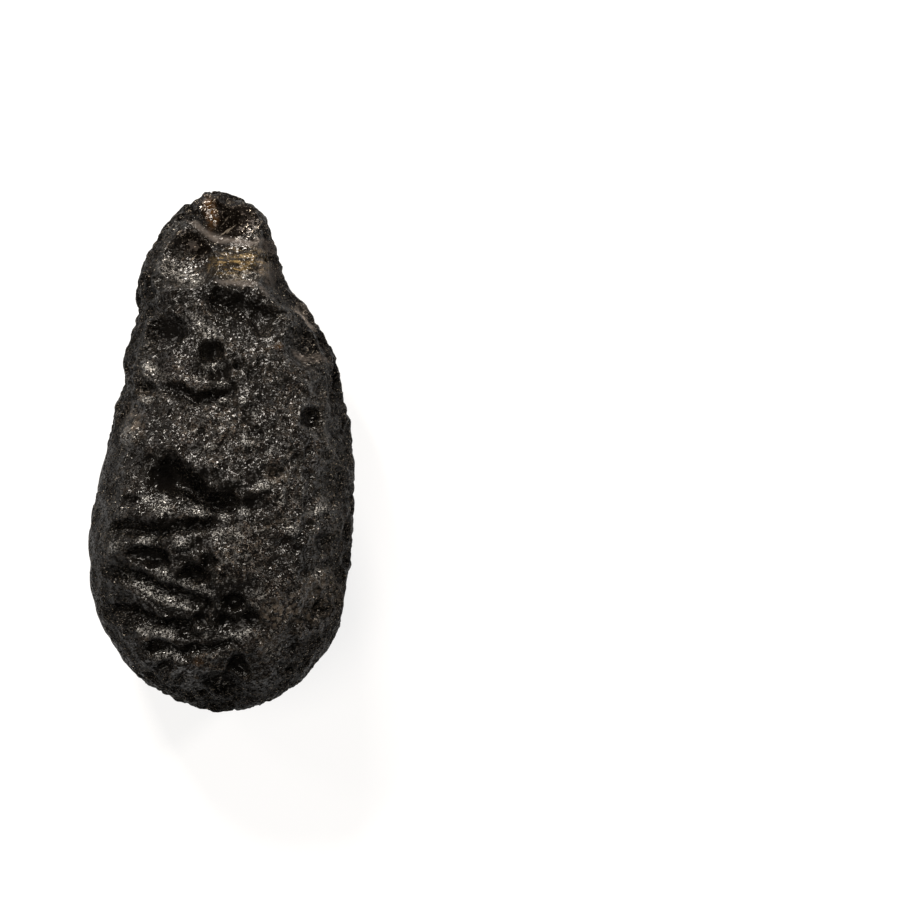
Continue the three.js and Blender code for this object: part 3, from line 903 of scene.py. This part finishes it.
class Nodes:
    """A short way to write a material's nodes."""

    def __init__(self, name: str) -> None:
        """Start a material with only an output and a Principled BSDF."""
        self.made = bpy.data.materials.new(name)
        self.made.use_nodes = True
        self.tree = self.made.node_tree
        self.tree.nodes.clear()
        self.shader = self.tree.nodes.new("ShaderNodeBsdfPrincipled")
        output = self.tree.nodes.new("ShaderNodeOutputMaterial")
        self.tree.links.new(self.shader.outputs["BSDF"], output.inputs["Surface"])
        self.place = self.tree.nodes.new("ShaderNodeTexCoord").outputs["Object"]

    def add(self, kind: str, inputs: dict | None = None, **settings: object) -> bpy.types.Node:
        """Add a node, with its settings and with its inputs linked or set.

        Args:
            kind: the node's type, without its "ShaderNode" beginning.
            inputs: input name or number to a socket or a value.
            settings: attributes of the node.

        Returns:
            The node.
        """
        node = self.tree.nodes.new("ShaderNode" + kind)
        for name, value in settings.items():
            setattr(node, name, value)
        for name, value in (inputs or {}).items():
            self.put(node.inputs[name], value)
        return node

    def put(self, socket: bpy.types.NodeSocket, value: object) -> None:
        """Link a socket to an output, or set its value."""
        if isinstance(value, bpy.types.NodeSocket):
            self.tree.links.new(value, socket)
        else:
            socket.default_value = value

    def math(self, operation: str, a: object, b: object = 0.0, clamp: bool = False) -> bpy.types.NodeSocket:
        """One step of arithmetic on two values."""
        return self.add("Math", {0: a, 1: b}, operation=operation, use_clamp=clamp).outputs[0]

    def remap(self, value: object, low: float, high: float, start: float, end: float) -> bpy.types.NodeSocket:
        """Map low..high to start..end by a smooth step, held at the ends."""
        inputs = {"Value": value, "From Min": low, "From Max": high, "To Min": start, "To Max": end}
        return self.add("MapRange", inputs, interpolation_type="SMOOTHSTEP").outputs["Result"]

    def blend(self, share: object, a: object, b: object) -> bpy.types.NodeSocket:
        """Mix two colours, which are the node's inputs 6 and 7, into its output 2."""
        return self.add("Mix", {"Factor": share, 6: a, 7: b}, data_type="RGBA").outputs[2]

    def noise(self, size: float, detail: float = 2.0, place: object = None) -> bpy.types.NodeSocket:
        """Noise whose features are about size millimetres across."""
        inputs = {"Vector": place or self.place, "Scale": 1.0 / (size * MM), "Detail": detail}
        return self.add("TexNoise", inputs).outputs["Fac"]

    def cells(self, size: float, place: object = None) -> bpy.types.Node:
        """Cells about points scattered size millimetres apart: distances to the nearest, and colours."""
        inputs = {"Vector": place or self.place, "Scale": 1.0 / (size * MM)}
        return self.add("TexVoronoi", inputs)

    def drawn_out(self, scale: tuple, turn: float) -> bpy.types.NodeSocket:
        """The place, turned about +Z by an angle in degrees and then squeezed by the scale."""
        way = {"Vector": self.place, "Rotation": (0.0, 0.0, radians(-turn))}
        turned = self.add("Mapping", way).outputs["Vector"]
        return self.add("Mapping", {"Vector": turned, "Scale": scale}).outputs["Vector"]

    def own(self, name: str) -> bpy.types.NodeSocket:
        """A value kept on the mesh."""
        return self.add("Attribute", attribute_name=name).outputs["Fac"]


@dataclass(frozen=True)
class Patches:
    """Noise made into patches: its size and detail, and a smooth step from low..high to start..end.

    Streaks also have a stretch, which squeezes each axis, the smaller the longer, after a turn in degrees.
    """

    size: float
    detail: float
    low: float
    high: float
    start: float = 0.0
    end: float = 1.0
    stretch: tuple[float, float, float] | None = None
    turn: float = 0.0

    def draw(self, n: Nodes) -> bpy.types.NodeSocket:
        """Add the patches to a material."""
        place = n.drawn_out(self.stretch, self.turn) if self.stretch else None
        return n.remap(n.noise(self.size, self.detail, place), self.low, self.high, self.start, self.end)


@dataclass(frozen=True)
class TektiteGlass:
    """Near-black glass with a glossy, finely etched skin that is greyer where it stands proud; the black of
    its pits, bowls and hollows and of its steep flanks is painted shade.

    On steep flanks and clear breaks it takes a dim metallic share, so that they mirror little of the table.
    """

    name: str = "tektite_glass"
    deep_black: Colour = (0.0045, 0.0038, 0.0032, 1.0)
    etched_grey: Colour = (0.13, 0.124, 0.112, 1.0)
    etched_brown: Colour = (0.135, 0.106, 0.082, 1.0)
    brown_patches: Patches = Patches(0.7, 2.0, 0.4, 0.6)
    mottle: Patches = Patches(1.6, 4.0, 0.42, 0.68)
    mottle_share: float = 0.35
    haze_patches: Patches = Patches(0.9, 3.0, 0.38, 0.6, 0.3, 1.1)
    haze_floor: float = 0.02
    haze_in_flank_shade: float = 0.4
    scratch_and_glint_white: Colour = (0.3, 0.255, 0.2, 1.0)
    scratches: Patches = Patches(0.8, 4.0, 0.63, 0.69, 0.0, 0.9, (0.16, 1.8, 1.0), 42.0)
    painted_glint_stipple: Patches = Patches(0.15, 1.0, 0.64, 0.74)
    brown_glass: Colour = (0.006, 0.0042, 0.003, 1.0)
    ivory: Colour = (0.19, 0.162, 0.138, 1.0)
    painted_glint_white: Colour = (0.65, 0.64, 0.61, 1.0)
    painted_glint_clumps: Patches = Patches(0.7, 3.0, 0.38, 0.58, 0.3, 1.1)
    painted_sheen_grey: Colour = (0.07, 0.059, 0.051, 1.0)
    painted_sheen_streaks: Patches = Patches(0.5, 4.0, 0.3, 0.55, 0.45, 1.0, (0.3, 1.5, 1.0), -12.0)
    amber_and_glow: Colour = (0.05, 0.024, 0.007, 1.0)
    amber_patches: Patches = Patches(0.5, 3.0, 0.36, 0.62, 0.25, 1.0)
    painted_gold_glints: Colour = (0.32, 0.22, 0.095, 1.0)
    gold_streaks: Patches = Patches(0.6, 4.0, 0.42, 0.64, 0.06, 1.0, (0.35, 1.6, 1.0))
    gold_floor: float = 0.3
    tan_dust: Colour = (0.12, 0.097, 0.075, 1.0)
    dust_patches: Patches = Patches(0.6, 4.0, 0.4, 0.7)
    points: Patches = Patches(0.2, 2.0, 0.59, 0.68)
    crackle_size: float = 0.6
    crackle_width: float = 0.03
    gloss: Patches = Patches(0.8, 3.0, 0.35, 0.65, 0.08, 0.22)
    frost_rough: float = 0.2
    side_rough: float = 0.25
    smooth_polish: float = 0.02
    sunk_share: float = 0.8
    specular_tint: Colour = (0.42, 0.42, 0.42, 1.0)
    ior: float = 1.5
    grain: float = 0.5
    grain_height: float = 0.07
    dimple: float = 0.5
    dimple_depth: float = 0.07
    smooth_bump: float = 0.9
    facets: tuple[Spot, ...] = ((0.42, 0.6), (0.22, 0.95))
    facet_patches: Patches = Patches(1.4, 2.0, 0.35, 0.62, 0.25, 1.0)
    facet_stretch: tuple[float, float, float] = (0.7, 1.3, 1.0)
    facet_turn: float = 14.0

    def colour(self, n: Nodes) -> bpy.types.NodeSocket:
        """Colour the glass: the etched skin, then clear glass and ivory bruises, and the marks over them,
        several of which are painted light: glints, sheen and the glow of the thin tip.
        """
        painted_speck = self.painted_sparkle(n)
        colour = self.etched_colour(n, painted_speck)
        clear = n.own("clear")
        # Flanks and clear breaks get fine white points: painted glints.
        painted_glint_stipple = n.math("MULTIPLY", n.math("ADD", n.own("side"), clear, clamp=True), self.painted_glint_stipple.draw(n))
        colour = n.blend(painted_glint_stipple, colour, self.scratch_and_glint_white)
        colour = n.blend(n.math("SUBTRACT", clear, painted_glint_stipple, clamp=True), colour, self.brown_glass)
        colour = n.blend(n.own("ivory"), colour, self.ivory)
        # White glints painted as colour on the knobs, in clumps of specks.
        clumps = n.math("SUBTRACT", self.painted_glint_clumps.draw(n), clear, clamp=True)
        painted_glint_specks = n.remap(painted_speck, 0.05, 1.0, 0.02, 1.0)
        painted_glints = n.math("MULTIPLY", n.math("MULTIPLY", n.own("painted_glints"), clumps), painted_glint_specks)
        colour = n.blend(painted_glints, colour, self.painted_glint_white)
        # Golden glints painted as colour, in streaks broken by the painted sparkle.
        shine = n.math("ADD", painted_speck, self.gold_floor)
        glints = n.math("MULTIPLY", self.gold_streaks.draw(n), shine, clamp=True)
        layers = (
            # Grey band: painted sheen, in streaks.
            ("frost_and_sheen", self.painted_sheen_streaks.draw(n), self.painted_sheen_grey),
            # Amber colour: brown glass, and painted glow of light through the thin tip.
            ("amber_and_glow", self.amber_patches.draw(n), self.amber_and_glow),
            ("painted_gold_glints", glints, self.painted_gold_glints),
            # Scratches on the clear breaks: real marks, painted white as their highlights.
            ("clear", self.scratches.draw(n), self.scratch_and_glint_white),
            ("dust", self.dust_patches.draw(n), self.tan_dust),
        )
        for mark, patches, paint in layers:
            colour = n.blend(n.math("MULTIPLY", n.own(mark), patches), colour, paint)
        return colour

    def etched_colour(self, n: Nodes, painted_speck: bpy.types.NodeSocket) -> bpy.types.NodeSocket:
        """Colour the etched skin: black in the pits, bowls and hollows as painted shade, and hazy grey and
        brown specks where it stands proud, partly etched haze and partly painted glints; steep flanks keep
        less of it, as painted shade.

        Args:
            n: the material's nodes.
            painted_speck: the painted sparkle of glints that breaks the haze up.

        Returns:
            The colour.
        """
        # proud falls to 0 in the pits, bowls and hollows, where the haze is left out: painted shade.
        proud = n.remap(n.own("deep"), 1.0, 0.0, 0.0, 1.0)
        upper = n.math("SUBTRACT", 1.0, n.own("side"))
        broken = n.math("MULTIPLY", n.own("haze"), self.haze_patches.draw(n))
        haze = n.math("ADD", n.math("MULTIPLY", self.mottle.draw(n), self.mottle_share), broken, clamp=True)
        # The haze shows mostly in the painted specks: painted glints on the etched grey.
        painted_specks = n.math("ADD", painted_speck, self.haze_floor)
        haze = n.math("MULTIPLY", n.math("MULTIPLY", haze, proud), painted_specks, clamp=True)
        # Steep flanks keep only a share of the haze, which darkens them: painted shade.
        painted_flank_shade = n.math("ADD", n.math("MULTIPLY", upper, 1.0 - self.haze_in_flank_shade), self.haze_in_flank_shade)
        grey = n.blend(self.brown_patches.draw(n), self.etched_grey, self.etched_brown)
        return n.blend(n.math("MULTIPLY", haze, painted_flank_shade), self.deep_black, grey)

    def painted_sparkle(self, n: Nodes) -> bpy.types.NodeSocket:
        """Painted glints: fine bright points and thin crackle lines, the peaks of one noise and another's
        middle values.
        """
        crossing = n.math("ABSOLUTE", n.math("SUBTRACT", n.noise(self.crackle_size, 4.0), 0.5))
        return n.math("MAXIMUM", self.points.draw(n), n.remap(crossing, 0.0, self.crackle_width, 1.0, 0.0))

    def height(self, n: Nodes) -> bpy.types.NodeSocket:
        """Fine relief in millimetres: dimples, which are the distance to scattered points, and grain."""
        grain = n.math("MULTIPLY", n.noise(self.grain, 3.0), self.grain_height)
        dimples = n.math("MULTIPLY", n.cells(self.dimple).outputs["Distance"], self.dimple_depth)
        return n.math("ADD", grain, dimples)

    def roughness(self, n: Nodes, smooth: bpy.types.NodeSocket) -> bpy.types.NodeSocket:
        """Patchy gloss, duller in frost and on the flanks and a little brighter on fresh glass."""
        rough = self.gloss.draw(n)
        rough = n.math("ADD", rough, n.math("MULTIPLY", n.own("frost_and_sheen"), self.frost_rough))
        rough = n.math("ADD", rough, n.math("MULTIPLY", n.own("side"), self.side_rough))
        return n.math("SUBTRACT", rough, n.math("MULTIPLY", smooth, self.smooth_polish))

    def material(self) -> bpy.types.Material:
        """Build the node tree."""
        n = Nodes(self.name)
        smooth = n.math("MAXIMUM", n.own("fresh"), n.own("clear"))
        steep = n.math("MAXIMUM", n.own("side"), n.own("clear"))
        dark = n.math("SUBTRACT", steep, n.own("amber_and_glow"), clamp=True)
        strength = n.math("SUBTRACT", 1.0, n.math("MULTIPLY", smooth, self.smooth_bump))
        bump = n.add("Bump", {"Height": self.height(n), "Distance": MM, "Strength": strength})
        finish = {
            "Base Color": self.colour(n),
            "Roughness": self.roughness(n, smooth),
            "Metallic": n.math("MULTIPLY", dark, self.sunk_share),
            "IOR": self.ior,
            "Specular Tint": self.specular_tint,
            "Normal": self.faceted(n, bump.outputs["Normal"], strength),
        }
        for socket, value in finish.items():
            n.put(n.shader.inputs[socket], value)
        return n.made

    def faceted(self, n: Nodes, normal: bpy.types.NodeSocket, strength: object) -> bpy.types.NodeSocket:
        """Tilt each tiny cell of the skin its own way, so that etched facets catch the light one by one.

        Args:
            n: the material's nodes.
            normal: the normal with the fine relief.
            strength: 1 for the full tilt, less where the glass is smooth.

        Returns:
            The normal plus the cell's random direction from -0.5 to 0.5, times tilt, scaled back to length 1.
        """
        # Facets tilt further where the glints are painted.
        patchy = n.math("MAXIMUM", self.facet_patches.draw(n), n.own("painted_glints"))
        patchy = n.math("MULTIPLY", n.math("ADD", patchy, n.own("side")), strength)
        drawn = n.drawn_out(self.facet_stretch, self.facet_turn)
        for size, tilt in self.facets:
            cell = n.cells(size, drawn).outputs["Color"]
            way = n.add("VectorMath", {0: cell, 1: (0.5, 0.5, 0.5)}, operation="SUBTRACT").outputs[0]
            lean = {0: way, "Scale": n.math("MULTIPLY", patchy, tilt)}
            push = n.add("VectorMath", lean, operation="SCALE").outputs[0]
            normal = n.add("VectorMath", {0: normal, 1: push}, operation="ADD").outputs[0]
        return n.add("VectorMath", {0: normal}, operation="NORMALIZE").outputs[0]


class Side(Enum):
    """Where a soft light stands round the stone."""

    TAIL = "tail"
    RIGHT = "right"
    LEFT = "left"
    ABOVE = "above"


@dataclass(frozen=True)
class SoftLight:
    """A square softbox: the way it stands from the stone, its distance, its edge and its power."""

    side: Side
    way: tuple[float, float, float]
    distance: float
    edge: float
    power: float
    colour: tuple[float, float, float] = (1.0, 0.93, 0.85)

    def build(self, target: Vector) -> bpy.types.Object:
        """Make the light, aimed at the target."""
        data = bpy.data.lights.new(self.side.value + "_light", "AREA")
        data.shape = "SQUARE"
        data.size = self.edge
        data.energy = self.power
        data.color = self.colour
        lamp = bpy.data.objects.new(data.name, data)
        bpy.context.collection.objects.link(lamp)
        way = Vector(self.way).normalized()
        lamp.location = target + way * self.distance
        lamp.rotation_euler = way.to_track_quat("Z", "Y").to_euler()
        return lamp


@dataclass(frozen=True)
class Studio:
    """A white table, soft lights and a camera that looks straight down, as in the photograph."""

    photo_scale: float = 0.12
    photo_width: int = 900
    photo_middle: Spot = (450.0, 450.0)
    stone_middle: Spot = (221.5, 451.5)
    waist: float = 12.0
    lens: float = 400.0
    sensor: float = 36.0
    floor_edge: float = 3.0
    table_grey: float = 0.25
    table_blue: float = 0.255
    table_grain: Patches = Patches(40.0, 2.0, 0.3, 0.7)
    table_rough: float = 0.8
    table_glow: float = 0.2
    panel_glow: float = 0.58
    panel_soft: float = 40.0
    room_glow: float = 0.05
    lights: tuple[SoftLight, ...] = (
        SoftLight(Side.TAIL, (-0.4, 0.8, 0.75), 0.7, 0.11, 4.8),
        SoftLight(Side.TAIL, (-0.1, 1.0, 0.36), 0.7, 0.13, 5.2),
        SoftLight(Side.RIGHT, (0.8, 0.4, 0.6), 0.8, 0.11, 3.2),
        SoftLight(Side.LEFT, (-0.85, 0.45, 0.6), 0.8, 0.11, 0.8),
        SoftLight(Side.ABOVE, (-0.35, -0.15, 1.0), 1.0, 0.5, 4.6),
    )

    def floor(self) -> bpy.types.Object:
        """Make the white table top."""
        half = self.floor_edge / 2
        mesh = bpy.data.meshes.new("table")
        corners = [(-half, -half, 0), (half, -half, 0), (half, half, 0), (-half, half, 0)]
        mesh.from_pydata(corners, [], [(0, 1, 2, 3)])
        table = bpy.data.objects.new("table", mesh)
        bpy.context.collection.objects.link(table)
        n = Nodes("white_table")
        grey = self.table_grey
        tints = ((grey, grey, grey, 1.0), (grey, grey, self.table_blue, 1.0))
        finish = {
            "Base Color": n.blend(self.table_grain.draw(n), *tints),
            "Roughness": self.table_rough,
            "Emission Color": (1.0, 1.0, 1.0, 1.0),
            "Emission Strength": self.glow(n),
        }
        for socket, value in finish.items():
            n.put(n.shader.inputs[socket], value)
        mesh.materials.append(n.made)
        return table

    def glow(self, n: Nodes) -> bpy.types.NodeSocket:
        """How strongly the table glows: a soft-edged panel as large as the camera's frame, in a dimmer top.

        Args:
            n: the table's nodes.

        Returns:
            The strength at each place, by the larger of its distances along X and Y from the panel's middle.
        """
        half = self.photo_width * self.photo_scale / 2
        x, y = self.frame_middle()
        off = n.add("VectorMath", {0: n.place, 1: (x, y, 0.0)}, operation="SUBTRACT").outputs[0]
        way = n.add("SeparateXYZ", {0: n.add("VectorMath", {0: off}, operation="ABSOLUTE").outputs[0]})
        reach = n.math("MAXIMUM", way.outputs["X"], way.outputs["Y"])
        lit = n.remap(reach, half * MM, (half + self.panel_soft) * MM, self.panel_glow, 0.0)
        return n.math("ADD", lit, self.table_glow)

    def frame_middle(self) -> tuple[float, float]:
        """Where the middle of the photograph's frame falls, in metres."""
        x = (self.photo_middle[0] - self.stone_middle[0]) * self.photo_scale * MM
        y = (self.stone_middle[1] - self.photo_middle[1]) * self.photo_scale * MM
        return x, y

    def camera(self) -> bpy.types.Object:
        """Make the camera: its frame is photo_width pixels of photo_scale millimetres at the waist."""
        data = bpy.data.cameras.new("camera")
        data.lens = self.lens
        data.sensor_width = self.sensor
        data.clip_start = 0.01
        camera = bpy.data.objects.new("camera", data)
        bpy.context.collection.objects.link(camera)
        width = self.photo_width * self.photo_scale * MM
        camera.location = (*self.frame_middle(), self.waist * MM + width * self.lens / self.sensor)
        bpy.context.scene.camera = camera
        return camera

    def world(self) -> None:
        """Fill the room with a weak even light."""
        world = bpy.data.worlds.new("room")
        world.use_nodes = True
        background = world.node_tree.nodes["Background"]
        background.inputs["Color"].default_value = (1.0, 1.0, 1.0, 1.0)
        background.inputs["Strength"].default_value = self.room_glow
        bpy.context.scene.world = world

    def build(self) -> None:
        """Set the studio up."""
        self.floor()
        self.camera()
        self.world()
        for light in self.lights:
            light.build(Vector((0.0, 0.0, self.waist * MM)))
        bpy.context.scene.view_settings.view_transform = "Standard"


def main() -> None:
    """Build the stone and its studio, and report each piece."""
    logging.basicConfig(level=logging.INFO, format="%(message)s")
    stone = Stone().build()
    LOG.info("stone: %d vertices, %d cells", len(stone.data.vertices), len(stone.data.polygons))
    Studio().build()
    LOG.info("studio: table, camera and lights")


if __name__ == "__main__":
    main()
